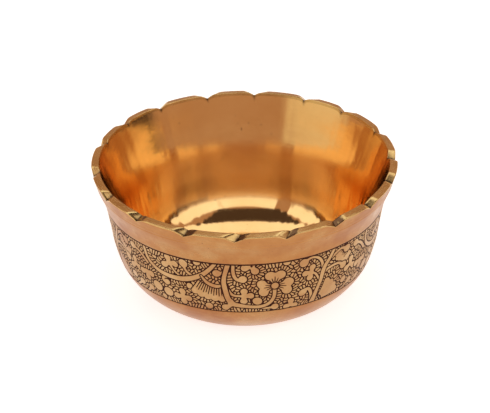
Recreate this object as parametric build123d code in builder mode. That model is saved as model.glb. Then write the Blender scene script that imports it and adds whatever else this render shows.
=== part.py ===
from build123d import *
from math import cos, radians, sin, tan
import os

# A small cast and lathe-turned brass bowl. Its lip is filed into lobes, and a
# chased band round its side is filled with black lac. Origin at the middle of
# the flat base, +Z up the bowl's axis, -Y towards the front. Millimetres.

# Driving dimensions
rim_radius = 60.0          # outside, across the lobes
height = 54.5              # base to the top of the lobes
lip_thickness = 3.2        # width of the lip's top face
lip_rounding = 0.45        # broken corners of the lip
base_radius = 34.5         # the turned flat that the bowl rests on
floor_thickness = 2.9      # under the edge of the inner floor
floor_radius = 26.0        # the nearly flat middle of the floor
floor_dish = 0.5           # how far the floor's middle sinks below its edge
crease_drop = 5.4          # from the lip down to the turned crease

# Chased band and its lac, measured down from the lip
band_top = 14.75
band_bottom = 39.3
line_height = 0.7          # black border line at each edge of the band
lac_depth = 0.4            # how deep the chased ground lies

# Lobes. Each width is one lobe in degrees, clockwise seen from above, and no
# two are quite alike because the notches are filed by hand.
lobe_widths = (21.5, 18.5, 22.0, 20.5, 18.5, 20.5, 18.5, 20.0, 19.0,
               19.0, 21.0, 19.5, 19.5, 23.0, 18.5, 19.5, 21.5, 19.5)
first_notch = 5.0          # azimuth from +Y, clockwise
notch_depth = 2.05
notch_slope = 25.0         # of each filed facet, from level
notch_skew = 17.0          # the file's stroke, off the bowl's radius
notch_lift = 18.0          # the stroke climbs inwards, so a notch is shallower inside
shoulder_start = 3.2       # where the facet starts to round over into the lobe
shoulder_end = 6.0
shoulder_rise = 0.14       # keeps the cutter clear of the lobe's flat top
cutter_height = 4.0
cutter_reach = 9.0


def below_lip(radius, drop):
    """A point of the bowl's section, given by its depth below the lip."""
    return (radius, height - drop)


# The outside flares at the lip, runs almost straight down the band and turns
# under to the base.
crease_point = below_lip(58.4, crease_drop)
outside_points = (
    crease_point,
    below_lip(55.8, 11.7),
    below_lip(53.3, 23.4),
    below_lip(51.9, 31.8),
    below_lip(48.6, 41.5),
    below_lip(42.6, 49.1),
    (base_radius, 0.0),
)
inside_points = (
    below_lip(rim_radius - lip_thickness, 0.0),
    below_lip(52.6, 11.0),
    below_lip(48.6, 20.8),
    below_lip(46.2, 31.0),
    below_lip(43.3, 41.4),
    below_lip(38.4, 47.2),
    below_lip(32.0, 50.3),
    (floor_radius, floor_thickness),
)
outside_start_slope = (-0.38, -1.0)
outside_end_slope = (-0.9, -0.4)
inside_start_slope = (-0.42, -1.0)
inside_end_slope = (-1.0, -0.05)


def outside_skin(inset=0.0):
    """Outside of the bowl below the crease, as one curve, moved in by an inset."""
    points = [(radius - inset, level) for radius, level in outside_points]
    return Spline(*points, tangents=(outside_start_slope, outside_end_slope))


def notch_azimuths():
    """Azimuth of each notch between two lobes."""
    azimuth = first_notch
    azimuths = []
    for width in lobe_widths:
        azimuths.append(azimuth)
        azimuth += width
    return azimuths


def notch_plane(azimuth):
    """Plane at the lip, facing in along the file's stroke."""
    place = (rim_radius * sin(radians(azimuth)), rim_radius * cos(radians(azimuth)), height)
    stroke = radians(azimuth + notch_skew)
    across = (cos(stroke), -sin(stroke), 0)
    level = cos(radians(notch_lift))
    inwards = (-sin(stroke) * level, -cos(stroke) * level, sin(radians(notch_lift)))
    return Plane(origin=place, x_dir=across, z_dir=inwards)


# Skin of the bowl's side, one lac depth thick, from the crease to the base
with BuildPart() as skin_layer:
    with BuildSketch(Plane.XZ):
        with BuildLine():
            outer = outside_skin()
            inner = outside_skin(inset=lac_depth)
            Line(outer @ 0, inner @ 0)
            Line(outer @ 1, inner @ 1)
        make_face()
    revolve(axis=Axis.Z)


def lac_ring(top_drop, bottom_drop):
    """Ring of that skin between two depths below the lip."""
    slab = Cylinder(2 * rim_radius, bottom_drop - top_drop, mode=Mode.PRIVATE)
    middle = height - (top_drop + bottom_drop) / 2
    return skin_layer.part & (Pos(0, 0, middle) * slab)


# Lac: a fine line at each edge of the band and the chased ground between them
with BuildPart() as lac_upper_line:
    add(lac_ring(band_top, band_top + line_height))

with BuildPart() as lac_ground:
    add(lac_ring(band_top + line_height, band_bottom - line_height))

with BuildPart() as lac_lower_line:
    add(lac_ring(band_bottom - line_height, band_bottom))

# The bowl: one casting, turned, filed and chased
with BuildPart() as bowl:
    with BuildSketch(Plane.XZ):
        with BuildLine():
            floor_middle = (0, floor_thickness - floor_dish)
            inside = Spline(*inside_points, tangents=(inside_start_slope, inside_end_slope))
            Spline(
                inside @ 1, floor_middle, tangents=(inside_end_slope, (-1, 0))
            )
            Polyline(floor_middle, (0, 0), (base_radius, 0))
            outside_skin()
            lip_corner = below_lip(rim_radius, 0.0)
            Polyline(crease_point, lip_corner, inside @ 0)
        section = make_face()
        lip_corners = section.vertices().filter_by_position(
            Axis.Z, height - 0.01, height + 0.01
        )
        fillet(lip_corners, radius=lip_rounding)
    revolve(axis=Axis.Z)
    for azimuth in notch_azimuths():
        with BuildSketch(notch_plane(azimuth)):
            with BuildLine() as facet:
                slope = tan(radians(notch_slope))
                shoulder = (shoulder_start, shoulder_start * slope - notch_depth)
                Line((0, -notch_depth), shoulder)
                TangentArc(shoulder, (shoulder_end, shoulder_rise), tangent=(1, slope))
                Polyline(
                    (shoulder_end, shoulder_rise), (shoulder_end, cutter_height), (0, cutter_height)
                )
                mirror(about=Plane.YZ)
            make_face()
        extrude(amount=cutter_reach, both=True, mode=Mode.SUBTRACT)
    for lac in (lac_upper_line, lac_ground, lac_lower_line):
        add(lac.part, mode=Mode.SUBTRACT)

bowl.part.label = "bowl"
lac_upper_line.part.label = "lac_upper_line"
lac_ground.part.label = "lac_ground"
lac_lower_line.part.label = "lac_lower_line"

os.makedirs("parts", exist_ok=True)
export_step(bowl.part, "parts/bowl.step")
export_step(lac_upper_line.part, "parts/lac_upper_line.step")
export_step(lac_ground.part, "parts/lac_ground.step")
export_step(lac_lower_line.part, "parts/lac_lower_line.step")
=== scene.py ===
"""Looks of the small brass bowl with a lobed lip and a chased band filled with black lac."""
import math
import random

import bpy
import numpy as np
from mathutils import Matrix, Vector
from mathutils.geometry import delaunay_2d_cdt


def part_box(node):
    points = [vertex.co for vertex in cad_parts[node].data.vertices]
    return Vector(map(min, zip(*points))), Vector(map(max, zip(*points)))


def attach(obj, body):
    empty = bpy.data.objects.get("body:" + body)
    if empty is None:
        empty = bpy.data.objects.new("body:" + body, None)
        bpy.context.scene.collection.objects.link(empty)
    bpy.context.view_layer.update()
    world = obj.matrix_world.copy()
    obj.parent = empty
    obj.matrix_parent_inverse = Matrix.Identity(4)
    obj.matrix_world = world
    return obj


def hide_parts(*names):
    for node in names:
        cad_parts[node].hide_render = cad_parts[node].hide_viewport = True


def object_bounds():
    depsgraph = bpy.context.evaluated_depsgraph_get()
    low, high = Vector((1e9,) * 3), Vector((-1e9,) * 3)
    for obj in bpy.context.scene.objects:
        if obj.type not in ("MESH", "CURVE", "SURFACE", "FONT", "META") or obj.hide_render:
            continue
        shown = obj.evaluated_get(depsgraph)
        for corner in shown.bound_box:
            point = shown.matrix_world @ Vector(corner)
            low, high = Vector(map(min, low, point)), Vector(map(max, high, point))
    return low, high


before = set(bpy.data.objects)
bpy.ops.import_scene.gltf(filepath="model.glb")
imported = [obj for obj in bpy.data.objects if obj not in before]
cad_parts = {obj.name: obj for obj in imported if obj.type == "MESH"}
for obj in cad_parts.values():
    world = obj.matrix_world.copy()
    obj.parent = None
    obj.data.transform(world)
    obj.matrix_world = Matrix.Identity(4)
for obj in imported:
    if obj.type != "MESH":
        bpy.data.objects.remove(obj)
cad_low, cad_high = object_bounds()

# Lengths below are millimetres, and become metres when a mesh is made.
MM = 0.001
HEIGHT = cad_high.z / MM
RIM_RADIUS = 60.0
LIP_THICKNESS = 3.2
BASE_RADIUS = 34.5
FLOOR_RADIUS = 26.0
FLOOR_LEVEL = 2.9
FLOOR_DISH = 0.5
CREASE_DROP = 5.4

BAND_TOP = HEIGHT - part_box("lac_upper_line")[1].z / MM
BAND_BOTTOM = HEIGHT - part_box("lac_lower_line")[0].z / MM
BAND_HEIGHT = BAND_BOTTOM - BAND_TOP
LINE_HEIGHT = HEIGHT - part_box("lac_ground")[1].z / MM - BAND_TOP
GROUND_DEPTH = 0.36
LAC_DEPTH = 0.085

# ---------------------------------------------------------------- section

OUTSIDE = [(58.4, 5.4), (55.8, 11.7), (53.3, 23.4), (51.9, 31.8), (48.6, 41.5), (42.6, 49.1)]
INSIDE = [(56.8, 0.0), (52.6, 11.0), (48.6, 20.8), (46.2, 31.0), (43.3, 41.4), (38.4, 47.2), (32.0, 50.3)]


def hermite_curve(points, start_slope, end_slope, steps=40):
    """Smooth curve through 2-D points, with given directions at its two ends."""
    points = np.array(points, float)
    chords = np.linalg.norm(np.diff(points, axis=0), axis=1)
    slopes = np.zeros_like(points)
    slopes[0] = np.array(start_slope) / np.linalg.norm(start_slope)
    slopes[-1] = np.array(end_slope) / np.linalg.norm(end_slope)
    for i in range(1, len(points) - 1):
        before = (points[i] - points[i - 1]) / chords[i - 1]
        after = (points[i + 1] - points[i]) / chords[i]
        share = chords[i - 1] / (chords[i - 1] + chords[i])
        slopes[i] = before * (1 - share) + after * share
    out = []
    for i, chord in enumerate(chords):
        t = np.linspace(0, 1, steps, endpoint=i == len(chords) - 1)[:, None]
        out.append(
            points[i] * (2 * t**3 - 3 * t**2 + 1)
            + slopes[i] * chord * (t**3 - 2 * t**2 + t)
            + points[i + 1] * (3 * t**2 - 2 * t**3)
            + slopes[i + 1] * chord * (t**3 - t**2)
        )
    return np.vstack(out)


outside_curve = hermite_curve(OUTSIDE + [(BASE_RADIUS, HEIGHT)], (-0.38, 1.0), (-0.9, 0.4))
inside_curve = hermite_curve(
    INSIDE + [(FLOOR_RADIUS, HEIGHT - FLOOR_LEVEL)], (-0.42, 1.0), (-1.0, 0.05)
)


def outside_radius(drop):
    return np.interp(drop, outside_curve[:, 1], outside_curve[:, 0])


def skin_point(angle, drop, depth=0.0):
    """Points on the outside, sunk along the normal. The angle runs from -Y towards +X."""
    radius = outside_radius(drop)
    slope = (outside_radius(drop + 0.05) - outside_radius(drop - 0.05)) / 0.1
    length = np.sqrt(1 + slope**2)
    radius = radius - depth / length
    level = HEIGHT - drop - depth * slope / length
    return np.stack([radius * np.sin(angle), -radius * np.cos(angle), level], -1)


def skin_normal(angle, drop):
    slope = (outside_radius(drop + 0.05) - outside_radius(drop - 0.05)) / 0.1
    length = np.sqrt(1 + slope**2)
    return np.stack([np.sin(angle) / length, -np.cos(angle) / length, slope / length], -1)


# ---------------------------------------------------------------- meshes


def make_object(name, points, faces, materials, face_material=None, smooth=True):
    """Mesh object from points in millimetres."""
    mesh = bpy.data.meshes.new(name)
    mesh.from_pydata((np.asarray(points) * MM).tolist(), [], faces)
    for material in materials:
        mesh.materials.append(material)
    if face_material is not None:
        mesh.polygons.foreach_set("material_index", face_material)
    if smooth:
        mesh.shade_smooth()
    mesh.validate()
    piece = bpy.data.objects.new(name, mesh)
    bpy.context.scene.collection.objects.link(piece)
    return piece


def closed_rings(rows, first_pole=None, last_pole=None):
    """Faces and points of a surface of closed rows; poles close its two ends."""
    columns = len(rows[0])
    points = np.vstack(rows)
    faces = []
    for i in range(len(rows) - 1):
        low = i * columns
        high = low + columns
        for j in range(columns):
            k = (j + 1) % columns
            faces.append((low + j, low + k, high + k, high + j))
    if first_pole is not None:
        points = np.vstack([points, [first_pole]])
        pole = len(points) - 1
        faces += [((j + 1) % columns, j, pole) for j in range(columns)]
    if last_pole is not None:
        points = np.vstack([points, [last_pole]])
        pole = len(points) - 1
        last = (len(rows) - 1) * columns
        faces += [(last + j, last + (j + 1) % columns, pole) for j in range(columns)]
    return points, faces


# ---------------------------------------------------------------- lobed body

# One number for each lobe or notch, in degrees, from the back round towards +X.
LOBE_WIDTHS = [21.5, 18.5, 22.0, 20.5, 18.5, 20.5, 18.5, 20.0, 19.0,
               19.0, 21.0, 19.5, 19.5, 23.0, 18.5, 19.5, 21.5, 19.5]
NOTCH_SKEWS = [12, 15, 14, 8, 6, 10, 4, 14, 40, 42, 22, 19, 8, -6, -20, -8, 10, 14]
NOTCH_LIFTS = [18, 18, 18, 18, 3, 3, 3, 3, 18, 18, 18, 18, 18, 18, 18, 18, 18, 18]
FIRST_NOTCH = 5.0
NOTCH_DEPTH = 2.05
FACET_SLOPE = math.tan(math.radians(25))
SHOULDER = 0.2
LIP_FALL = 0.45
LOBE_COLUMNS = 40
OUTER_ROUNDING = 0.4
INNER_ROUNDING = 0.35


def lobe_columns():
    """For each column round the bowl: angle, distances and depths of its two notches, skew and lift."""
    filing = random.Random(7)
    depths = [NOTCH_DEPTH * filing.uniform(0.9, 1.1) for _ in LOBE_WIDTHS]
    angle = 180.0 - FIRST_NOTCH
    columns = []
    for k, width in enumerate(LOBE_WIDTHS):
        nxt = (k + 1) % len(LOBE_WIDTHS)
        for j in range(LOBE_COLUMNS):
            share = j / LOBE_COLUMNS
            span = math.radians(width) * RIM_RADIUS
            skew = NOTCH_SKEWS[k] * (1 - share) + NOTCH_SKEWS[nxt] * share
            lift = NOTCH_LIFTS[k] * (1 - share) + NOTCH_LIFTS[nxt] * share
            columns.append((math.radians(angle - width * share), span * share, span * (1 - share),
                            depths[k], depths[nxt], math.radians(skew), math.tan(math.radians(lift))))
        angle -= width
    return np.array(columns[::-1]).T


def notch_drop(columns, sunk):
    """How far the filed lobes lie below the lip, at a distance in from the outside."""
    drop = 0.14 * ((columns[1] - columns[2]) / (columns[1] + columns[2])) ** 2
    for near, depth in ((columns[1], columns[3]), (columns[2], columns[4])):
        rise = (depth - columns[6] * sunk - FACET_SLOPE * near) / SHOULDER
        drop = drop + SHOULDER * np.log1p(np.exp(np.minimum(rise, 60)))
    return drop


def lip_radius(drop):
    """Outside of the flared lip above the crease."""
    crease_radius = OUTSIDE[0][0]
    height_share = np.clip((CREASE_DROP - drop) / CREASE_DROP, 0, 1)
    return crease_radius + (RIM_RADIUS - crease_radius) * height_share**1.2


def ring(angle, radius, level):
    angle, radius, level = np.broadcast_arrays(angle, radius, level)
    return np.stack([radius * np.sin(angle), -radius * np.cos(angle), level], -1)


OUTSIDE_BRASS, INSIDE_BRASS, LIP_BRASS = 0, 1, 2


def body_rows():
    """Rows of the cast body, from the middle of the base up, over the lip and down to the floor."""
    columns = lobe_columns()
    angle, skew = columns[0], columns[5]
    rows, looks, darkening_and_shade_rows = [], [], []

    def add_row(points, look, darkening_and_shade=None):
        rows.append(points)
        looks.append(look)
        darkening_and_shade_rows.append(np.zeros_like(angle) if darkening_and_shade is None else darkening_and_shade)

    def add_skin(drop, depth=0.0):
        add_row(skin_point(angle, np.full_like(angle, drop), depth), OUTSIDE_BRASS)

    # Darkening near the notches, strongest at each notch line.
    def notch_darkening(width, strength=1.0):
        return strength * np.maximum(np.exp(-columns[1] / width), np.exp(-columns[2] / width))

    # The facet on the +X side of each front notch is darkened with painted shade.
    front = np.clip((np.cos(angle) - 0.70) / 0.08, 0, 1)
    front_facet_painted_shade = front / (1 + np.exp((columns[2] - 3.6) / 0.25))
    # The lip's darkening: near every notch, plus the painted shade on the facets of the front notches.
    lip_darkening_and_painted_shade = np.maximum(notch_darkening(0.55), front_facet_painted_shade)

    for radius in (4.0, 14.0, 24.0, 31.0, 33.6):
        add_row(ring(angle, radius, 0.0), OUTSIDE_BRASS)
    curve = outside_curve[::-1]
    curve = curve[curve[:, 1] > BAND_BOTTOM + 0.2]
    lengths = np.insert(np.cumsum(np.linalg.norm(np.diff(curve, axis=0), axis=1)), 0, 0)
    for length in np.linspace(0.5, lengths[-1], 18):
        radius = np.interp(length, lengths, curve[:, 0])
        drop = np.interp(length, lengths, curve[:, 1])
        add_row(ring(angle, radius, HEIGHT - drop), OUTSIDE_BRASS)
    for drop, depth in ((0.08, 0.0), (0.0, 0.02), (-0.05, 0.1), (-0.07, GROUND_DEPTH)):
        add_skin(BAND_BOTTOM + drop, depth)
    for drop in np.linspace(BAND_BOTTOM - 0.6, BAND_TOP + 0.6, 10):
        add_skin(drop, GROUND_DEPTH)
    for drop, depth in ((0.07, GROUND_DEPTH), (0.05, 0.1), (0.0, 0.02), (-0.08, 0.0)):
        add_skin(BAND_TOP + drop, depth)
    for drop in np.linspace(BAND_TOP - 0.6, CREASE_DROP + 0.9, 9):
        add_skin(drop)
    for drop, depth in ((0.5, 0.0), (0.26, 0.04), (0.1, 0.12)):
        add_skin(CREASE_DROP + drop, depth)

    start = CREASE_DROP - 0.1
    outer_drop = notch_drop(columns, 0.0) + LIP_FALL
    for share in (0.0, 0.06, 0.2, 0.4, 0.6, 0.8, 1.0):
        drop = start + (outer_drop + OUTER_ROUNDING - start) * share
        sunk = 0.07 if share == 0 else 0.0
        add_row(ring(angle, lip_radius(drop) - sunk, HEIGHT - drop), OUTSIDE_BRASS)
    edge = lip_radius(outer_drop + OUTER_ROUNDING)
    inner_drop = notch_drop(columns, LIP_THICKNESS)
    inner_edge = np.interp(inner_drop + INNER_ROUNDING, inside_curve[:, 1], inside_curve[:, 0])

    def skewed(radius, strength=1.0):
        return angle + np.tan(skew) * (edge - radius) / radius * strength

    for turn in (22, 45, 68, 90):
        turn = math.radians(turn)
        radius = edge - OUTER_ROUNDING * (1 - math.cos(turn))
        drop = outer_drop + OUTER_ROUNDING * (1 - math.sin(turn))
        add_row(ring(skewed(radius), radius, HEIGHT - drop), LIP_BRASS, lip_darkening_and_painted_shade)
    flat_start = edge - OUTER_ROUNDING
    flat_end = inner_edge + INNER_ROUNDING
    for share in (0.2, 0.4, 0.6, 0.8, 1.0):
        radius = flat_start + (flat_end - flat_start) * share
        drop = notch_drop(columns, LIP_THICKNESS * share) + LIP_FALL * (1 - share)
        add_row(ring(skewed(radius), radius, HEIGHT - drop), LIP_BRASS, lip_darkening_and_painted_shade)
    for turn in (22, 45, 68, 90):
        turn = math.radians(turn)
        radius = flat_end - INNER_ROUNDING * math.sin(turn)
        drop = inner_drop + INNER_ROUNDING * (1 - math.cos(turn))
        add_row(ring(skewed(radius), radius, HEIGHT - drop), LIP_BRASS, lip_darkening_and_painted_shade)

    curve = inside_curve
    lengths = np.insert(np.cumsum(np.linalg.norm(np.diff(curve, axis=0), axis=1)), 0, 0)
    reach = 9.0
    for length in np.concatenate([np.linspace(0.9, reach, 8), np.linspace(reach + 1, lengths[-1], 36)]):
        fade = max(0.0, 1 - length / reach)
        along = length + (inner_drop + INNER_ROUNDING) * fade
        radius = np.interp(along, lengths, curve[:, 0])
        drop = np.interp(along, lengths, curve[:, 1])
        # Inside, just below the lip: darker near the notches.
        add_row(ring(skewed(radius, fade**2), radius, HEIGHT - drop), INSIDE_BRASS,
                notch_darkening(1.2, 0.6 * fade**4))
    for share in (0.85, 0.68, 0.5, 0.34, 0.18, 0.06):
        level = FLOOR_LEVEL - FLOOR_DISH * (1 - share**2)
        add_row(ring(angle, FLOOR_RADIUS * share, level), INSIDE_BRASS)
    return rows, looks, darkening_and_shade_rows


def build_body(materials):
    rows, looks, darkening_and_shade_rows = body_rows()
    columns = len(rows[0])
    base = (0.0, 0.0, 0.0)
    floor = (0.0, 0.0, FLOOR_LEVEL - FLOOR_DISH)
    points, faces = closed_rings(rows, base, floor)
    look = []
    for i in range(len(rows) - 1):
        look += [max(looks[i], looks[i + 1]) if LIP_BRASS in looks[i:i + 2] else looks[i + 1]] * columns
    look += [OUTSIDE_BRASS] * columns + [INSIDE_BRASS] * columns
    body = make_object("bowl_body", points, faces, materials, look)
    # One value a point: darkening near the notches, and painted shade on the facets of the front notches.
    darkening_and_shade = body.data.attributes.new("darkening_and_shade", "FLOAT", "POINT")
    darkening_and_shade.data.foreach_set("value", np.concatenate(darkening_and_shade_rows + [[0.0, 0.0]]).astype(np.float32))
    body.data.set_sharp_from_angle(angle=math.radians(32))
    return body


# ---------------------------------------------------------------- chased pattern
# The band is laid out flat: x runs round the bowl in millimetres at its middle radius, from -Y
# towards +X, and y runs down from the band's top. Shapes are fields of distance, negative inside.

MIDDLE_RADIUS = 53.4
GIRTH = 2 * math.pi * MIDDLE_RADIUS
PITCH = 0.075
COLUMNS = round(GIRTH / PITCH)
ROWS = round(BAND_HEIGHT / PITCH) + 1
STEP_X = GIRTH / COLUMNS
STEP_Y = BAND_HEIGHT / (ROWS - 1)
FAR = 9.0
REACH = 5.5
GAP = 0.5
PANELS = 7
PANEL_WIDTH = GIRTH / PANELS
FIRST_PANEL = math.radians(-20.6) * MIDDLE_RADIUS

motif = np.full((ROWS, COLUMNS), FAR, np.float32)
bare = np.zeros((ROWS, COLUMNS), bool)
grid_y = (np.arange(ROWS) * STEP_Y)[:, None]


def window(low_x, high_x):
    """Wrapped column numbers of a stretch of the band, and its x and y with the hand's wander."""
    columns = np.arange(math.floor(low_x / STEP_X), math.ceil(high_x / STEP_X) + 1)
    flat_x = (columns * STEP_X)[None, :]
    turn = flat_x / MIDDLE_RADIUS
    tilt = grid_y / BAND_HEIGHT
    x = flat_x + 0.3 * np.sin(5 * turn + 3.1 * tilt) + 0.22 * np.sin(13 * turn - 5.3 * tilt + 1.0)
    y = grid_y + 0.25 * np.sin(9 * turn + 2.2 * tilt + 0.4) + 0.15 * np.sin(23 * turn + 2.0)
    return columns % COLUMNS, x, y


def smooth_line(points, steps=6):
    """Catmull-Rom curve through points of any dimension."""
    points = [np.array(p, float) for p in points]
    points = [2 * points[0] - points[1]] + points + [2 * points[-1] - points[-2]]
    out = []
    for a, b, c, d in zip(points, points[1:], points[2:], points[3:]):
        for t in np.arange(steps) / steps:
            out.append(0.5 * (2 * b + (c - a) * t + (2 * a - 5 * b + 4 * c - d) * t * t
                              + (3 * b - a - 3 * c + d) * t**3))
    return np.array(out + [points[-2]])


def stroke(*points):
    """Tapering line; each point is x, y and the line's width there."""
    line = smooth_line(points)

    def field(x, y):
        best = np.full(x.shape, FAR)
        for (ax, ay, aw), (bx, by, bw) in zip(line, line[1:]):
            dx, dy = bx - ax, by - ay
            share = np.clip(((x - ax) * dx + (y - ay) * dy) / (dx * dx + dy * dy + 1e-9), 0, 1)
            gap = np.hypot(x - ax - dx * share, y - ay - dy * share)
            np.minimum(best, gap - (aw + (bw - aw) * share) / 2, out=best)
        return best

    return field, line[:, 0].min(), line[:, 0].max()


def disc(x0, y0, radius, stretch=1.0):
    def field(x, y):
        return np.hypot((x - x0) / stretch, y - y0) - radius

    return field, x0 - radius * stretch, x0 + radius * stretch


def soft_union(a, b, blend):
    mix = np.clip(0.5 + 0.5 * (b - a) / blend, 0, 1)
    return b * (1 - mix) + a * mix - blend * mix * (1 - mix)


def lay(*shapes, gap=GAP, blend=0.25):
    """Lays one motif over what is there, with a chased line of the given gap round it."""
    low_x = min(shape[1] for shape in shapes) - REACH
    high_x = max(shape[2] for shape in shapes) + REACH
    columns, x, y = window(low_x, high_x)
    field = shapes[0][0](x, y)
    for shape in shapes[1:]:
        field = soft_union(field, shape[0](x, y), blend)
    under = motif[:, columns]
    motif[:, columns] = np.minimum(np.maximum(under, gap - field), field)


def cut(*shapes):
    """Chases lines or dots into what is there."""
    for field, low_x, high_x in shapes:
        columns, x, y = window(low_x - 1, high_x + 1)
        motif[:, columns] = np.maximum(motif[:, columns], -field(x, y))


def polar(x, y, angle, distance):
    """Point at a distance in a direction; 0 points down the band, 90 to the right."""
    turn = math.radians(angle)
    return x + math.sin(turn) * distance, y + math.cos(turn) * distance


def bud(x, y, radius, *stalk):
    """Round bud, with an optional stalk of x, y, width points running into it."""
    shapes = [disc(x, y, radius)]
    if stalk:
        shapes.append(stroke(*stalk, (x, y, min(1.2, radius))))
    lay(*shapes, blend=0.5)


def small_flower(x, y, angles, size=1.0, reach=2.6, stalk=()):
    """Flower of round petals about a chased dot."""
    shapes = []
    for angle in angles:
        px, py = polar(x, y, angle, reach * size)
        shapes.append(disc(px, py, 1.42 * size))
        shapes.append(stroke((x, y, 1.7 * size), (px, py, 1.9 * size)))
    if stalk:
        shapes.append(stroke(*stalk, (x, y, 0.9)))
    lay(*shapes, blend=0.45)
    cut(disc(x, y, 0.45 * size))


def big_flower(x, y, turn=0.0, size=1.0):
    """Flower of three two-lobed petals about a round eye."""
    for angle in (180, 82, -82):
        shapes = []
        for side in (-21, 21):
            px, py = polar(x, y, angle + turn + side, 5.3 * size)
            shapes.append(disc(px, py, 1.95 * size))
            inner = polar(x, y, angle + turn + side * 0.6, 1.5)
            shapes.append(stroke((*inner, 1.0), (px, py, 2.4 * size)))
        middle = polar(x, y, angle + turn, 1.4)
        outer = polar(x, y, angle + turn, 5.0 * size)
        shapes.append(stroke((*middle, 1.8), (*outer, 2.2 * size)))
        lay(*shapes, blend=0.5)
        for side in (-21, 21):
            cut(disc(*polar(x, y, angle + turn + side * 1.05, 5.7 * size), 0.5))
        for side in (-20, 0, 20):
            end = 4.3 if side == 0 else 3.7
            cut(stroke((*polar(x, y, angle + turn + side, 1.5), 0.5),
                       (*polar(x, y, angle + turn + side * 0.92, end * size), 0.32)))
    lay(disc(x, y, 1.4 * size), gap=0.5)


def fan(x, y, low, high, inner=13.9, outer=20.8, rays=12, lobes=5):
    """Sector of a palm fan about a far point, with chased rays and a lobed outer edge."""

    def field(gx, gy):
        angle = np.degrees(np.arctan2(gx - x, gy - y))
        radius = np.hypot(gx - x, gy - y)
        share = (angle - low) / (high - low)
        edge = outer - 0.9 + 0.9 * np.abs(np.sin(math.pi * lobes * np.clip(share, 0, 1))) ** 0.7
        middle = np.radians((low + high) / 2)
        half = math.radians((high - low) / 2)
        side = (np.abs(np.radians(angle) - middle) - half) * np.minimum(radius, outer)
        return np.maximum(np.maximum(inner - radius, radius - edge), side)

    reach_x = [polar(x, y, a, d)[0] for a in (low, (low + high) / 2, high) for d in (inner, outer)]
    lay((field, min(reach_x) - 1, max(reach_x) + 1))
    root = max(inner - 0.5, 0.8 * rays / math.radians(high - low))
    for i in range(1, rays):
        angle = low + (high - low) * i / rays
        length = outer - 2.9 - 0.5 * (i % 2)
        cut(stroke((*polar(x, y, angle, root), 0.5), (*polar(x, y, angle, length), 0.4)))


def oval_ring(x, y, width, height):
    """Open ring, bare inside."""
    lay(disc(x, y, height / 2, width / height))
    hole = disc(x, y, height / 2 - 1.0, (width - 2.0) / (height - 2.0))
    cut(hole)
    columns, grid_x, wandered_y = window(hole[1], hole[2])
    bare[:, columns] |= hole[0](grid_x, wandered_y) < 0.2


def flower_panel(o, branches=True):
    """A big three-petalled flower on a stem that rises from a forked trunk."""
    fan(o + 8.9, -1.75, -36, 8)
    lay(stroke((o + 2.0, 7.0, 0.6), (o + 4.3, 10.0, 1.4), (o + 8.0, 11.3, 1.5), (o + 11.2, 10.2, 0.8)))
    bud(o + 8.0, 4.8, 1.6, (o + 11.2, 3.0, 1.2), (o + 9.8, 4.4, 1.2))
    small_flower(o + 18.5, 16.2, (180, 100, 0), 0.95, stalk=(
        (o + 11.7, 10.2, 0.8), (o + 12.9, 13.4, 1.0), (o + 14.8, 15.6, 1.0)))
    bud(o + 18.0, 7.8, 1.7,
        (o + 14.4, -0.6, 1.2), (o + 14.2, 3.7, 1.3), (o + 14.9, 6.7, 1.3), (o + 16.4, 8.2, 1.2))
    bud(o + 23.5, 18.4, 1.8)
    bud(o + 30.4, 22.0, 1.5, (o + 25.0, 22.0, 0.9), (o + 27.5, 22.3, 0.9))
    lay(
        stroke((o + 12.4, -0.6, 1.9), (o + 11.0, 5.2, 1.6), (o + 10.8, 9.2, 1.7), (o + 11.6, 13.2, 1.8),
               (o + 12.6, 17.2, 2.0), (o + 14.2, 19.8, 2.2), (o + 16.6, 20.9, 1.9), (o + 20.4, 21.5, 1.5),
               (o + 24.8, 21.2, 1.4), (o + 28.2, 19.6, 1.4), (o + 30.1, 16.6, 1.4), (o + 30.6, 12.5, 1.5)),
        stroke((o + 13.6, 18.6, 1.8), (o + 13.0, 20.9, 1.8), (o + 11.3, 21.8, 2.0)),
        disc(o + 11.2, 21.8, 1.5),
        blend=0.6,
    )
    small_flower(o + 21.6, 1.4, (-73, 30, 150), 1.1, 2.5)
    bud(o + 34.6, 0.9, 1.4)
    small_flower(o + 37.2, 22.2, (180, -68, 68), 0.95, 2.2)
    big_flower(o + 30.7, 11.5)
    bud(o + 41.8, 17.2, 1.7,
        (o + 46.2, 23.4, 1.2), (o + 45.6, 19.6, 1.2), (o + 44.4, 16.6, 1.2), (o + 43.0, 15.9, 1.2))
    small_flower(o + 44.7, 8.3, (-95, 167, -12), 0.95, stalk=((o + 48.3, 13.0, 0.9), (o + 46.8, 10.0, 0.9)))
    if branches:
        bud(o + 61.1, 3.7, 1.7, (o + 51.6, 6.6, 1.2), (o + 54.0, 4.4, 1.2), (o + 57.6, 2.2, 1.1))
        bud(o + 60.7, 11.3, 1.6, (o + 50.2, 11.0, 1.2), (o + 53.2, 9.2, 1.2), (o + 57.4, 9.0, 1.1))
    bud(o + 41.6, 2.6, 1.9,
        (o + 50.2, 9.6, 1.2), (o + 49.5, 4.9, 1.2), (o + 47.6, 2.1, 1.1), (o + 44.6, 1.0, 1.0))
    lay(stroke((o + 46.8, 25.0, 2.6), (o + 47.9, 18.3, 1.6), (o + 49.3, 13.8, 1.6), (o + 50.1, 10.2, 1.9),
               (o + 51.2, 7.2, 1.7), (o + 53.2, 3.9, 1.4), (o + 54.8, -0.6, 1.2)))


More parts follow.
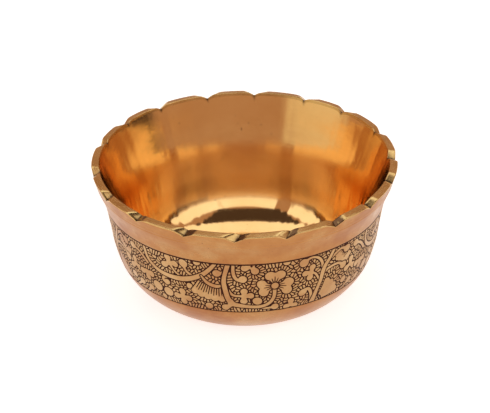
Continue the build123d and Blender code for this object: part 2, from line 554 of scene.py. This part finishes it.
def ribbon_panel(o):
    """A broad ribbon over small flowers, buds and rings, with a fan at its left."""
    fan(o + 0.5, 24.2, 98, 163, inner=3.0, outer=11.2, rays=8, lobes=4)
    fan(o + 20.0, 0.2, -80, -30, inner=7.4, outer=13.6, rays=9, lobes=4)
    small_flower(o + 17.2, 12.6, (180, 62, -58), 0.95)
    bud(o + 14.6, 18.8, 1.6)
    bud(o + 19.0, 20.6, 1.6, (o + 12.8, 25.0, 1.0), (o + 16.0, 23.0, 1.0))
    bud(o + 18.4, 3.4, 1.6, (o + 25.6, 8.6, 1.3), (o + 22.3, 5.0, 1.2))
    small_flower(o + 24.0, 13.6, (-78, 85, 8), 1.0)
    oval_ring(o + 28.9, 18.4, 4.8, 4.6)
    oval_ring(o + 34.4, 19.5, 4.5, 4.2)
    bud(o + 31.4, 22.7, 1.2)
    bud(o + 24.4, 21.2, 1.5, (o + 20.8, 25.0, 1.0))
    small_flower(o + 36.4, 4.75, (185, 98, -60), 1.0, stalk=((o + 42.6, 10.2, 0.9), (o + 38.6, 8.2, 0.9)))
    bud(o + 42.9, 2.7, 1.8, (o + 48.0, 8.6, 1.3), (o + 44.5, 6.7, 1.1), (o + 43.2, 4.8, 1.0))
    bud(o + 48.5, 0.9, 1.3)
    bud(o + 34.4, 14.6, 1.3, (o + 35.6, 11.6, 1.5), (o + 33.0, 12.6, 1.2), (o + 32.8, 14.2, 1.1))
    small_flower(o + 41.0, 19.3, (180, 85, -78, 8), 1.0)
    bud(o + 44.4, 12.9, 1.3)
    bud(o + 52.2, 21.9, 1.6)
    lay(stroke((o + 55.9, -0.8, 1.2), (o + 52.2, 4.7, 1.7), (o + 48.5, 7.7, 2.0), (o + 42.0, 10.3, 2.1),
               (o + 36.4, 11.2, 1.9), (o + 31.7, 10.4, 1.7), (o + 28.2, 8.3, 1.5), (o + 26.1, 5.2, 1.3),
               (o + 25.2, -0.6, 1.0)))


def draw_motifs():
    """Seven panels round the band; the flower panel at number 0 faces the front."""
    for k in range(PANELS):
        start = FIRST_PANEL + k * PANEL_WIDTH
        if k in (1, 3, 6):
            ribbon_panel(start)
    for k in range(PANELS):
        start = FIRST_PANEL + k * PANEL_WIDTH
        if k in (0, 2, 4, 5):
            flower_panel(start, branches=k != 4)


# ---------------------------------------------------------------- leaf strokes between the motifs

LEAF_WIDTH = 1.14
LEAF_LENGTH = 2.1
ROW_LEVELS = (1.3, 3.2, 5.0)
LEAF_GAP = 0.54
LEAF_TRIES = 60000
BUCKET = 2.2
LOWER_LINE = 0.6


def gradient(field):
    """Slope of a field that wraps round in x."""
    wrapped = np.concatenate([field[:, -1:], field, field[:, :1]], axis=1)
    return (wrapped[:, 2:] - wrapped[:, :-2]) / (2 * STEP_X), np.gradient(field, STEP_Y, axis=0)


def trace(field):
    """Closed outlines of the places where a field is negative, inside on their left."""
    inside = field < 0
    right = np.roll(field, -1, axis=1)
    inside_right = np.roll(inside, -1, axis=1)
    count_h = field.size
    corner = inside[:-1] * 1 + inside_right[:-1] * 2 + inside_right[1:] * 4 + inside[1:] * 8
    rows, columns = np.nonzero((corner > 0) & (corner < 15))
    # edges of a cell: 0 top, 1 right, 2 bottom, 3 left, where the top has the smaller y
    nexts = {1: [(0, 3)], 2: [(1, 0)], 3: [(1, 3)], 4: [(2, 1)], 5: [(0, 3), (2, 1)],
             6: [(2, 0)], 7: [(2, 3)], 8: [(3, 2)], 9: [(0, 2)], 10: [(1, 0), (3, 2)],
             11: [(1, 2)], 12: [(3, 1)], 13: [(0, 1)], 14: [(3, 0)]}
    wide = field.shape[1]
    follow = {}
    for j, i in zip(rows.tolist(), columns.tolist()):
        i2 = (i + 1) % wide
        edges = (j * wide + i, count_h + j * wide + i2, (j + 1) * wide + i, count_h + j * wide + i)
        for a, b in nexts[int(corner[j, i])]:
            follow[edges[a]] = edges[b]

    def place(edge):
        if edge < count_h:
            j, i = divmod(edge, wide)
            a, b = field[j, i], right[j, i]
            return i + a / (a - b), float(j)
        j, i = divmod(edge - count_h, wide)
        a, b = field[j, i], field[j + 1, i]
        return float(i), j + a / (a - b)

    loops = []
    while follow:
        first, edge = follow.popitem()
        loop = [place(first)]
        while edge != first:
            x, y = place(edge)
            x -= wide * round((x - loop[-1][0]) / wide)
            loop.append((x, y))
            edge = follow.pop(edge)
        loops.append(np.array(loop) * (STEP_X, STEP_Y))
    return loops


def leaf_seeds(distance):
    """Places and directions of the leaf strokes: rows that follow the motifs, then what is left."""
    slope_x, slope_y = gradient(distance)
    chance = random.Random(19)
    seeds = []
    buckets = {}

    def nearness(x, y, angle, other):
        ox, oy, turn = other
        dx = (x - ox + GIRTH / 2) % GIRTH - GIRTH / 2
        dy = y - oy
        best = 9.0
        for a in (angle, turn):
            along = dx * math.cos(a) + dy * math.sin(a)
            across = -dx * math.sin(a) + dy * math.cos(a)
            best = min(best, math.hypot(along / LEAF_LENGTH, across / LEAF_WIDTH))
        return best

    def offer(x, y, slant, least):
        i, j = int(x / STEP_X) % COLUMNS, min(max(int(y / STEP_Y), 0), ROWS - 1)
        if distance[j, i] < 0.3:
            return
        angle = math.atan2(slope_y[j, i], slope_x[j, i]) + slant
        spot = (int(x % GIRTH // BUCKET), int(y // BUCKET))
        last = int(GIRTH // BUCKET)
        for bx in (-1, 0, 1):
            for by in (-1, 0, 1):
                for other in buckets.get(((spot[0] + bx) % (last + 1), spot[1] + by), ()):
                    if nearness(x, y, angle, other) < least:
                        return
        seed = (x % GIRTH, y, angle)
        buckets.setdefault(spot, []).append(seed)
        seeds.append(seed)

    for level in ROW_LEVELS:
        for loop in trace(level - distance):
            steps = np.linalg.norm(np.diff(loop, axis=0, append=loop[:1]), axis=1)
            lengths = np.cumsum(steps)
            slant = math.radians(chance.choice((-1, 1)) * chance.uniform(12, 34))
            place = chance.uniform(0, 1)
            while place < lengths[-1]:
                x, y = loop[np.searchsorted(lengths, place)]
                offer(x, y, slant + chance.gauss(0, 0.1), 0.82)
                place += LEAF_WIDTH * chance.uniform(0.5, 0.62)
    for _ in range(LEAF_TRIES):
        offer(chance.uniform(0, GIRTH), chance.uniform(0, BAND_HEIGHT), chance.uniform(-0.5, 0.5), 0.78)
    return seeds


def leaf_field(seeds, distance):
    """Cells about the seeds, longer one way, with chased lines between them."""
    nearest = np.full((ROWS, COLUMNS), FAR, np.float32)
    second = nearest.copy()
    reach_x, reach_y = round(2.6 / STEP_X), round(2.6 / STEP_Y)
    for x, y, angle in seeds:
        i, j = round(x / STEP_X), round(y / STEP_Y)
        columns = np.arange(i - reach_x, i + reach_x + 1)
        rows = np.arange(max(0, j - reach_y), min(ROWS, j + reach_y + 1))
        dx = (columns * STEP_X - x)[None, :]
        dy = (rows * STEP_Y - y)[:, None]
        along = (dx * math.cos(angle) + dy * math.sin(angle)) / LEAF_LENGTH
        across = (dy * math.cos(angle) - dx * math.sin(angle)) / LEAF_WIDTH
        spread = np.hypot(along, across)
        place = np.ix_(rows, columns % COLUMNS)
        was = nearest[place]
        second[place] = np.minimum(second[place], np.maximum(was, spread))
        nearest[place] = np.minimum(was, spread)
    border = second - nearest
    slope_x, slope_y = gradient(border)
    steep = np.maximum(np.hypot(slope_x, slope_y), 0.55)
    return LEAF_GAP / 2 - border / steep


def blurred(field, times):
    """A little rounding of a field's corners."""
    for _ in range(times):
        field = (np.roll(field, 1, 1) + 2 * field + np.roll(field, -1, 1)) / 4
        padded = np.pad(field, ((1, 1), (0, 0)), mode="edge")
        field = (padded[:-2] + 2 * field + padded[2:]) / 4
    return field


def brass_fields():
    """Fields of the motifs and of the leaf strokes, negative where brass stands proud."""
    draw_motifs()
    inside_lines = np.maximum(LINE_HEIGHT - grid_y, grid_y - (BAND_HEIGHT - LOWER_LINE))
    distance = np.minimum(motif, -inside_lines + 0.25)
    leaves = leaf_field(leaf_seeds(distance), distance)
    leaves = np.maximum(leaves, GAP - motif)
    leaves[bare] = GAP
    flowers = np.maximum(motif, inside_lines + 0.06)
    leaves = np.maximum(blurred(leaves, 3), inside_lines)
    return blurred(flowers, 1), leaves


# ---------------------------------------------------------------- chased brass

SUNK = GROUND_DEPTH + 0.02
EDGE_ROWS = ((0.0, SUNK), (0.0, 0.07), (0.025, 0.02), (0.085, 0.0))


def thinned(loop, tolerance):
    """A closed outline with the points that it doesn't need left out."""
    start = int(np.argmin(loop[:, 0]))
    loop = np.roll(loop, -start, axis=0)
    middle = int(np.argmax(np.hypot(*(loop - loop[0]).T)))
    closed = np.vstack([loop, loop[:1]])
    kept = {0, middle}
    spans = [(0, middle), (middle, len(loop))]
    while spans:
        a, b = spans.pop()
        if b - a < 2:
            continue
        chord = closed[b] - closed[a]
        length = max(math.hypot(*chord), 1e-9)
        offset = closed[a + 1:b] - closed[a]
        away = np.abs(offset[:, 0] * chord[1] - offset[:, 1] * chord[0]) / length
        far = int(np.argmax(away))
        if away[far] > tolerance:
            kept.add(a + 1 + far)
            spans += [(a, a + 1 + far), (a + 1 + far, b)]
    return loop[sorted(kept)]


def area(loop):
    x, y = loop.T
    return 0.5 * float(np.sum(x * np.roll(y, -1) - np.roll(x, -1) * y))


def encloses(loop, point):
    """Whether a closed outline goes round a point."""
    x, y = loop.T
    x2, y2 = np.roll(x, -1), np.roll(y, -1)
    crosses = (y > point[1]) != (y2 > point[1])
    rise = np.where(crosses, y2 - y, 1.0)
    return int(np.sum(crosses & (point[0] < x + (point[1] - y) / rise * (x2 - x)))) % 2 == 1


def islands(field, tolerance, least_area=0.12):
    """Outlines of a field's brass, each with the outlines of the holes in it."""
    loops = [thinned(loop, tolerance) for loop in trace(field)]
    outer = [(loop, []) for loop in loops if len(loop) > 3 and area(loop) > least_area]
    for hole in loops:
        if len(hole) < 4 or area(hole) > -0.02:
            continue
        for loop, holes in outer:
            for turn in (0, GIRTH, -GIRTH):
                if encloses(loop, hole[0] + (turn, 0)):
                    holes.append(hole + (turn, 0))
    return outer


def island_mesh(loop, holes, spread):
    """Points, faces and normals of one proud island with rounded edges, from its flat outlines."""
    loops = [loop[::-1] for loop in [loop] + holes]
    flat = np.vstack(loops)
    inward = []
    edges = []
    first = 0
    for line in loops:
        ahead = np.roll(line, -1, axis=0) - line
        ahead /= np.linalg.norm(ahead, axis=1)[:, None]
        side = ahead + np.roll(ahead, 1, axis=0)
        side /= np.maximum(np.linalg.norm(side, axis=1), 0.3)[:, None]
        inward.append(np.stack([side[:, 1], -side[:, 0]], -1))
        edges += [(first + i, first + (i + 1) % len(line)) for i in range(len(line))]
        first += len(line)
    inward = np.vstack(inward)
    count = len(flat)

    inner = []
    if spread:
        low, high = flat.min(0), flat.max(0)
        for gx in np.arange(low[0] + spread / 2, high[0], spread):
            for gy in np.arange(low[1] + spread / 2, high[1], spread):
                if np.min(np.hypot(*(flat - (gx, gy)).T)) > 0.3 * spread and \
                        sum(encloses(line, (gx, gy)) for line in loops) == 1:
                    inner.append((gx, gy))
    corners = [Vector((x, -y)) for x, y in flat.tolist() + inner]
    found = delaunay_2d_cdt(corners, edges, [], 2, 1e-5)
    if len(found[0]) != len(corners):
        return None
    triangles = [tuple(found[3][i][0] for i in face) for face in found[2]]

    def place(plan, depth):
        return skin_point(plan[:, 0] / MIDDLE_RADIUS, BAND_TOP + plan[:, 1], depth)

    angle, drop = flat[:, 0] / MIDDLE_RADIUS, BAND_TOP + flat[:, 1]
    proud = skin_normal(angle, drop)
    across = np.stack([np.cos(angle), np.sin(angle), np.zeros(count)], -1)
    sideways = -(across * inward[:, :1] + np.cross(proud, across) * -inward[:, 1:])
    rows, normals = [], []
    for (inset, depth), lean in zip(EDGE_ROWS, (0.0, 0.3, 0.75, 1.0)):
        rows.append(place(flat + inward * inset, depth))
        normals.append(sideways * (1 - lean) + proud * lean)
    extra = np.array(inner).reshape(-1, 2)
    rows += [place(extra, 0.0), place(extra, SUNK)]
    inner_proud = skin_normal(extra[:, 0] / MIDDLE_RADIUS, BAND_TOP + extra[:, 1])
    normals += [inner_proud, -inner_proud]

    faces = []
    for level in range(len(EDGE_ROWS) - 1):
        for a, b in edges:
            low = level * count
            faces.append((low + a, low + b, low + count + b, low + count + a))
    top = (len(EDGE_ROWS) - 1) * count
    for face in triangles:
        faces.append(tuple(top + i for i in face))
        faces.append(tuple(i if i < count else top + len(inner) + i for i in reversed(face)))
    return np.vstack(rows), faces, np.vstack(normals)


def build_islands(name, group, material, spread_area):
    """One mesh of many islands."""
    points, faces, normals = [], [], []
    start = 0
    for loop, holes in group:
        made = island_mesh(loop, holes, 1.1 if area(loop) > spread_area else 0)
        if made is None:
            print("island left out", area(loop), loop[0])
            continue
        points.append(made[0])
        faces += [tuple(start + i for i in face) for face in made[1]]
        normals.append(made[2])
        start += len(made[0])
    piece = make_object(name, np.vstack(points), faces, [material])
    lengths = np.linalg.norm(np.vstack(normals), axis=1)[:, None]
    piece.data.normals_split_custom_set_from_vertices((np.vstack(normals) / lengths).tolist())
    return piece


def build_chasing(material):
    """The brass left standing in the band: stems, flowers and buds, and the leaf strokes."""
    flowers, leaves = brass_fields()
    pieces = [build_islands("chased_flowers", islands(flowers, 0.018), material, 9.0)]
    strokes = islands(leaves, 0.022)
    for quarter in range(4):
        group = [cell for cell in strokes if int(cell[0][:, 0].mean() % GIRTH / GIRTH * 4) % 4 == quarter]
        pieces.append(build_islands(f"chased_leaves_{quarter + 1}", group, material, 9.0))
    return pieces


# ---------------------------------------------------------------- lac

LAC_COLUMNS = 720
LAC_ROW = 0.8


def build_lac(name, low_drop, high_drop, material, seed):
    """Ring of lac wiped nearly level with the brass, its face a little uneven."""
    chance = random.Random(seed)
    angle = np.linspace(0, 2 * math.pi, LAC_COLUMNS, endpoint=False)
    waves = [(chance.randint(9, 160), chance.uniform(0.3, 2.2), chance.uniform(0, 6.28)) for _ in range(14)]
    drops = np.linspace(low_drop, high_drop, max(4, round((high_drop - low_drop) / LAC_ROW) + 1))
    rows = []
    for drop in drops:
        uneven = sum(np.sin(n * angle + k * drop + p) for n, k, p in waves) * 0.006
        rows.append(skin_point(angle, np.full(LAC_COLUMNS, drop), LAC_DEPTH + uneven))
    for drop in drops[::-1]:
        rows.append(skin_point(angle, np.full(LAC_COLUMNS, drop), SUNK))
    points, faces = closed_rings(rows[::-1] + [rows[-1]])
    points = points[:-LAC_COLUMNS]
    last = len(points)
    faces = [tuple(i - last if i >= last else i for i in face) for face in faces]
    piece = make_object(name, points, faces, [material])
    piece.data.set_sharp_from_angle(angle=math.radians(40))
    return piece


# ---------------------------------------------------------------- materials


class Nodes:
    """A node tree, with short calls to add nodes to it."""

    def __init__(self, tree):
        self.tree = tree

    def add(self, kind, inputs=(), **settings):
        node = self.tree.nodes.new(kind)
        for name, value in settings.items():
            setattr(node, name, value)
        for name, value in dict(inputs).items():
            self.set(node.inputs[name], value)
        return node

    def set(self, socket, value):
        if isinstance(value, bpy.types.NodeSocket):
            self.tree.links.new(value, socket)
        else:
            socket.default_value = value

    def look(self, **inputs):
        for name, value in inputs.items():
            self.set(self.shader.inputs[name.replace("_", " ")], value)

    def math(self, operation, a, b=0.0, c=0.0):
        return self.add("ShaderNodeMath", {0: a, 1: b, 2: c}, operation=operation).outputs[0]

    def vector(self, x, y, z):
        return self.add("ShaderNodeCombineXYZ", {0: x, 1: y, 2: z}).outputs[0]

    def noise(self, vector, scale, detail=2.0, roughness=0.5):
        return self.add("ShaderNodeTexNoise", {"Vector": vector, "Scale": scale, "Detail": detail,
                                               "Roughness": roughness}).outputs["Fac"]

    def remap(self, value, low, high, to_low, to_high):
        return self.add("ShaderNodeMapRange", {"Value": value, "From Min": low, "From Max": high,
                                               "To Min": to_low, "To Max": to_high}).outputs["Result"]

    def ramp(self, value, *stops):
        node = self.add("ShaderNodeValToRGB", {"Fac": value})
        elements = node.color_ramp.elements
        while len(elements) < len(stops):
            elements.new(0.5)
        for element, (position, colour) in zip(elements, stops):
            element.position = position
            element.color = (*colour, 1.0)
        return node.outputs["Color"]

    def mix(self, share, a, b, blend="MIX"):
        node = self.add("ShaderNodeMix", data_type="RGBA", blend_type=blend)
        self.set(node.inputs[0], share)
        self.set(node.inputs[6], a)
        self.set(node.inputs[7], b)
        return node.outputs[2]

    def bump(self, height, distance, normal=None):
        inputs = {"Height": height, "Distance": distance, "Strength": 1.0}
        if normal is not None:
            inputs["Normal"] = normal
        return self.add("ShaderNodeBump", inputs).outputs["Normal"]


class Finish(Nodes):
    """A metal, lac or paper material."""

    def __init__(self, name):
        self.material = bpy.data.materials.new(name)
        self.material.use_nodes = True
        super().__init__(self.material.node_tree)
        self.shader = self.tree.nodes["Principled BSDF"]
        self.place = self.add("ShaderNodeTexCoord").outputs["Object"]

    def around(self):
        """Direction round the bowl (x and y over the radius), the radius and the height."""
        parts = self.add("ShaderNodeSeparateXYZ", {0: self.place}).outputs
        x, y, z = parts[0], parts[1], parts[2]
        radius = self.math("SQRT", self.math("ADD", self.math("MULTIPLY", x, x), self.math("MULTIPLY", y, y)))
        safe = self.math("MAXIMUM", radius, 0.0005)
        return self.math("DIVIDE", x, safe), self.math("DIVIDE", y, safe), radius, z


def lathe_lines(finish, fine, drift):
    """Noise in rings round the bowl, as a lathe leaves, that drifts slowly along each ring."""
    east, north, radius, height = finish.around()
    across = finish.math("MULTIPLY", radius, fine)
    up = finish.math("MULTIPLY", height, fine)
    slow_x = finish.math("MULTIPLY", east, drift)
    slow_y = finish.math("MULTIPLY", north, drift)
    along = finish.math("ADD", slow_x, finish.math("MULTIPLY", slow_y, 1.7))
    return finish.noise(finish.vector(across, up, along), 1.0, 3.0, 0.6)


def turned_brass(name, light, dark, tan):
    """Cast brass turned on the outside: satin, mottled, with rings and a few dark specks."""
    finish = Finish(name)
    mottle = finish.noise(finish.place, 75.0, 5.0, 0.62)
    blotch = finish.noise(finish.place, 28.0, 3.0, 0.5)
    lines = lathe_lines(finish, 2600.0, 6.0)
    colour = finish.ramp(mottle, (0.36, dark), (0.52, tan), (0.66, light))
    colour = finish.mix(finish.remap(blotch, 0.4, 0.7, 0.0, 0.55), colour, (*tan, 1.0))
    speck = finish.noise(finish.place, 900.0, 2.0, 0.5)
    colour = finish.mix(finish.remap(speck, 0.70, 0.76, 0.0, 0.55), colour, (0.16, 0.075, 0.035, 1.0))
    rough = finish.remap(lines, 0.3, 0.7, 0.24, 0.36)
    rough = finish.math("ADD", rough, finish.remap(mottle, 0.4, 0.7, 0.05, -0.03))
    normal = finish.bump(lines, 0.0000035)
    normal = finish.bump(finish.noise(finish.place, 160.0, 2.0, 0.5), 0.00004, normal)
    finish.look(Base_Color=colour, Metallic=1.0, Roughness=rough, Normal=normal)
    return finish.material


def darken_and_shade(finish, colour, reach):
    """Darkens a metal near the notches, and with painted shade on the facets of the front notches, by a
    per-point attribute of the mesh.
    """
    darkening_and_shade = finish.add("ShaderNodeAttribute", attribute_name="darkening_and_shade").outputs["Fac"]
    patchy = finish.noise(finish.place, 620.0, 3.0, 0.6)
    share = finish.math("MULTIPLY", darkening_and_shade, finish.remap(patchy, 0.35, 0.6, 0.55, 1.25))
    return finish.mix(finish.remap(share, 0.12, reach, 0.0, 0.92), colour, (0.11, 0.05, 0.028, 1.0))


def polished_brass(name):
    """The inside: buffed over lathe lines, hazier low at the back, with ripples and casting pits."""
    finish = Finish(name)
    east, north, _, height = finish.around()

    def wavy(turns, climb, detail=1.0):
        """Noise with so many waves per radian round the bowl and per metre up its wall."""
        place = finish.vector(finish.math("MULTIPLY", east, turns), finish.math("MULTIPLY", north, turns),
                              finish.math("MULTIPLY", height, climb))
        return finish.noise(place, 1.0, detail, 0.5)

    lines = lathe_lines(finish, 1500.0, 9.0)
    mottle = finish.noise(finish.place, 60.0, 4.0, 0.6)
    colour = finish.ramp(mottle, (0.35, (0.84, 0.51, 0.20)), (0.65, (0.89, 0.57, 0.24)))
    pit = finish.add("ShaderNodeTexVoronoi", {"Vector": finish.place, "Scale": 330.0}).outputs["Distance"]
    chance = finish.noise(finish.place, 45.0, 2.0, 0.5)
    pits = finish.math("MULTIPLY", finish.remap(pit, 0.05, 0.11, 1.0, 0.0),
                       finish.remap(chance, 0.53, 0.60, 0.0, 0.8))
    colour = finish.mix(pits, colour, (0.13, 0.06, 0.03, 1.0))
    # Darker near the notches at the top of the wall.
    colour = darken_and_shade(finish, colour, 0.8)

    wall = finish.remap(height, 0.0115, 0.0145, 0.0, 1.0)
    haze = finish.math("MULTIPLY", finish.remap(height, 0.030, 0.038, 1.0, 0.15),
                       finish.math("MULTIPLY", wall, finish.remap(north, 0.35, 0.75, 0.0, 1.0)))
    rough = finish.remap(lines, 0.3, 0.7, 0.05, 0.085)
    rough = finish.math("MULTIPLY_ADD", wall, 0.035, rough)
    rough = finish.math("MULTIPLY_ADD", haze, 0.13, rough)
    strokes = finish.math("MULTIPLY", finish.remap(height, 0.022, 0.036, 0.05, 1.0), wavy(11.0, 380.0, 2.0))
    liquid = finish.math("MULTIPLY", finish.remap(height, 0.022, 0.033, 1.0, 0.0),
                         finish.remap(north, 0.3, 0.75, 1.0, 0.12))
    calm = finish.remap(haze, 0.0, 1.0, 1.0, 0.35)
    normal = finish.bump(finish.math("MULTIPLY", calm, wavy(9.0, 14.0)), 0.0002)
    normal = finish.bump(finish.math("MULTIPLY", finish.math("MULTIPLY", wall, liquid), wavy(13.0, 55.0)),
                         0.0005, normal)
    normal = finish.bump(finish.math("MULTIPLY", wall, strokes), 0.00004, normal)
    normal = finish.bump(lines, 0.000003, normal)
    finish.look(Base_Color=colour, Metallic=1.0, Roughness=rough, Normal=normal, Anisotropic=0.9,
                Anisotropic_Rotation=0.25)
    return finish.material


def filed_brass(name):
    """The lip: filed, then buffed along its length, darker near the notches, with painted shade on the facets
    of the front notches.
    """
    finish = Finish(name)
    strokes = lathe_lines(finish, 3000.0, 14.0)
    mottle = finish.noise(finish.place, 130.0, 4.0, 0.6)
    colour = finish.ramp(mottle, (0.35, (0.62, 0.39, 0.15)), (0.5, (0.70, 0.46, 0.18)),
                         (0.68, (0.76, 0.52, 0.22)))
    # Darker near the notches, and painted shade on the facets of the front notches.
    colour = darken_and_shade(finish, colour, 0.75)
    rough = finish.remap(strokes, 0.3, 0.7, 0.16, 0.30)
    normal = finish.bump(strokes, 0.000006)
    finish.look(Base_Color=colour, Metallic=1.0, Roughness=rough, Normal=normal)
    return finish.material


def wiped_lac(name):
    """Brown-black lac: a little gloss, fine wiping lines and dust."""
    finish = Finish(name)
    cloud = finish.noise(finish.place, 420.0, 3.0, 0.6)
    colour = finish.ramp(cloud, (0.35, (0.026, 0.007, 0.004)), (0.7, (0.070, 0.019, 0.009)))
    rough = finish.remap(cloud, 0.3, 0.7, 0.34, 0.55)
    grain = finish.noise(finish.place, 1800.0, 2.0, 0.5)
    finish.look(Base_Color=colour, Roughness=rough, Normal=finish.bump(grain, 0.00002),
                Specular_IOR_Level=0.04)
    return finish.material


# ---------------------------------------------------------------- object

outside_look = turned_brass("brass_turned", (0.50, 0.275, 0.11), (0.39, 0.155, 0.052), (0.46, 0.21, 0.07))
chased_look = turned_brass("brass_chased", (0.60, 0.385, 0.185), (0.42, 0.20, 0.08), (0.51, 0.295, 0.125))
inside_look = polished_brass("brass_polished")
lip_look = filed_brass("brass_filed")
lac_look = wiped_lac("lac_wiped")

brass_pieces = [build_body([outside_look, inside_look, lip_look])] + build_chasing(chased_look)
ground_low, ground_high = BAND_TOP + LINE_HEIGHT, BAND_BOTTOM - LINE_HEIGHT
lac_pieces = [
    (build_lac("lac_upper_fill", BAND_TOP, ground_low, lac_look, 3), "lac_upper_line"),
    (build_lac("lac_ground_fill", ground_low, ground_high, lac_look, 4), "lac_ground"),
    (build_lac("lac_lower_fill", ground_high, BAND_BOTTOM, lac_look, 5), "lac_lower_line"),
]
for piece in brass_pieces:
    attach(piece, "root")
    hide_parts("bowl")
for piece, node in lac_pieces:
    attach(piece, "root")
    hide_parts(node)

# ---------------------------------------------------------------- studio

CAMERA_DISTANCE = 1.0126
CAMERA_ELEVATION = math.radians(28.71)
CAMERA_DOWN = math.radians(29.75)
CAMERA_ROLL = math.radians(-0.78)


def lit_paper(name, colour, glow):
    """Pale paper on a light table, which keeps it pale beside the bowl."""
    finish = Finish(name)
    speckle = finish.noise(finish.place, 30.0, 2.0, 0.5)
    low, high = [tuple(c * k for c in colour) for k in (0.985, 1.0)]
    finish.look(Base_Color=finish.ramp(speckle, (0.3, low), (0.7, high)), Roughness=0.9,
                Emission_Color=(1.0, 1.0, 1.0, 1.0), Emission_Strength=glow)
    return finish.material


def studio_floor():
    points = [(-3000, -3000, -0.05), (3000, -3000, -0.05), (3000, 3000, -0.05), (-3000, 3000, -0.05)]
    floor = make_object("floor", points, [(0, 1, 2, 3)], [lit_paper("floor_paper", (0.80, 0.80, 0.80), 0.72)])


# A plain studio: a dim warm room with white softboxes, a warm reflector and dark cards.
ROOM = (0.50, 0.31, 0.22)
SOFTBOX = (1.30, 1.30, 1.30)
REFLECTOR = (0.85, 0.75, 0.58)
DARK = (0.08, 0.055, 0.045)
BACKDROP = (1.0, 1.0, 1.0)
# Degrees round from the camera's side towards +X, degrees up, colour, softness of the edge in degrees.
WALL_PANELS = [
    (-85, -35, -5, 20, REFLECTOR, 15),
    (75, 125, -5, 15, DARK, 10),
    (30, 90, 28, 50, SOFTBOX, 5),
    (-35, 30, 28, 50, SOFTBOX, 5),
    (-95, -55, 28, 50, SOFTBOX, 5),
]
# Panels overhead, on a ceiling one unit up: range towards +X, range towards the camera, colour, softness.
CEILING_PANELS = [
    (-0.9, 0.8, -0.65, -0.1, SOFTBOX, 0.1),
    (-0.7, 0.5, -0.1, 0.7, DARK, 0.1),
]


def studio_world():
    """The same soft light for the metal, the lac and the paper, before a white backdrop."""
    world = bpy.data.worlds.new("studio")
    world.use_nodes = True
    nodes = Nodes(world.node_tree)
    direction = nodes.add("ShaderNodeTexCoord").outputs["Generated"]
    parts = nodes.add("ShaderNodeSeparateXYZ", {0: direction}).outputs
    front = nodes.math("MULTIPLY", parts[1], -1.0)
    turn = nodes.math("ARCTAN2", parts[0], front)
    up = nodes.math("ARCSINE", parts[2])
    climb = nodes.math("MAXIMUM", parts[2], 0.05)
    across, towards_camera = nodes.math("DIVIDE", parts[0], climb), nodes.math("DIVIDE", front, climb)

    def opening(ranges, soft):
        """1 where every value lies between its two limits, 0 outside them."""
        inside = 1.0
        for value, low, high in ranges:
            for edge, side in ((low, 1), (high, -1)):
                step = nodes.add("ShaderNodeMapRange", {
                    "Value": value, "From Min": edge - side * soft / 2, "From Max": edge + side * soft / 2,
                }, interpolation_type="SMOOTHSTEP").outputs["Result"]
                inside = nodes.math("MULTIPLY", inside, step)
        return inside

    light = (*ROOM, 1.0)
    for low_turn, high_turn, low_up, high_up, colour, soft in WALL_PANELS:
        ranges = ((turn, math.radians(low_turn), math.radians(high_turn)),
                  (up, math.radians(low_up), math.radians(high_up)))
        light = nodes.mix(opening(ranges, math.radians(soft)), light, (*colour, 1.0))
    for low_across, high_across, low_front, high_front, colour, soft in CEILING_PANELS:
        ranges = ((across, low_across, high_across), (towards_camera, low_front, high_front))
        light = nodes.mix(opening(ranges, soft), light, (*colour, 1.0))
    in_view = nodes.add("ShaderNodeLightPath").outputs["Is Camera Ray"]
    light = nodes.mix(in_view, light, (*BACKDROP, 1.0))
    nodes.set(world.node_tree.nodes["Background"].inputs["Color"], light)
    bpy.context.scene.world = world


def studio_camera():
    camera = bpy.data.objects.new("camera", bpy.data.cameras.new("camera"))
    camera.data.sensor_width = 36.0
    camera.data.lens = 191.02
    camera.data.clip_start = 0.05
    away = Vector((0, -math.cos(CAMERA_ELEVATION), math.sin(CAMERA_ELEVATION))) * CAMERA_DISTANCE
    aim = Matrix.Rotation(math.pi / 2 - CAMERA_DOWN, 4, "X") @ Matrix.Rotation(CAMERA_ROLL, 4, "Z")
    camera.matrix_world = Matrix.Translation(Vector((0, 0, HEIGHT * MM)) + away) @ aim
    bpy.context.scene.collection.objects.link(camera)
    bpy.context.scene.camera = camera


studio_floor()
studio_world()
studio_camera()
bpy.context.scene.view_settings.view_transform = "Standard"
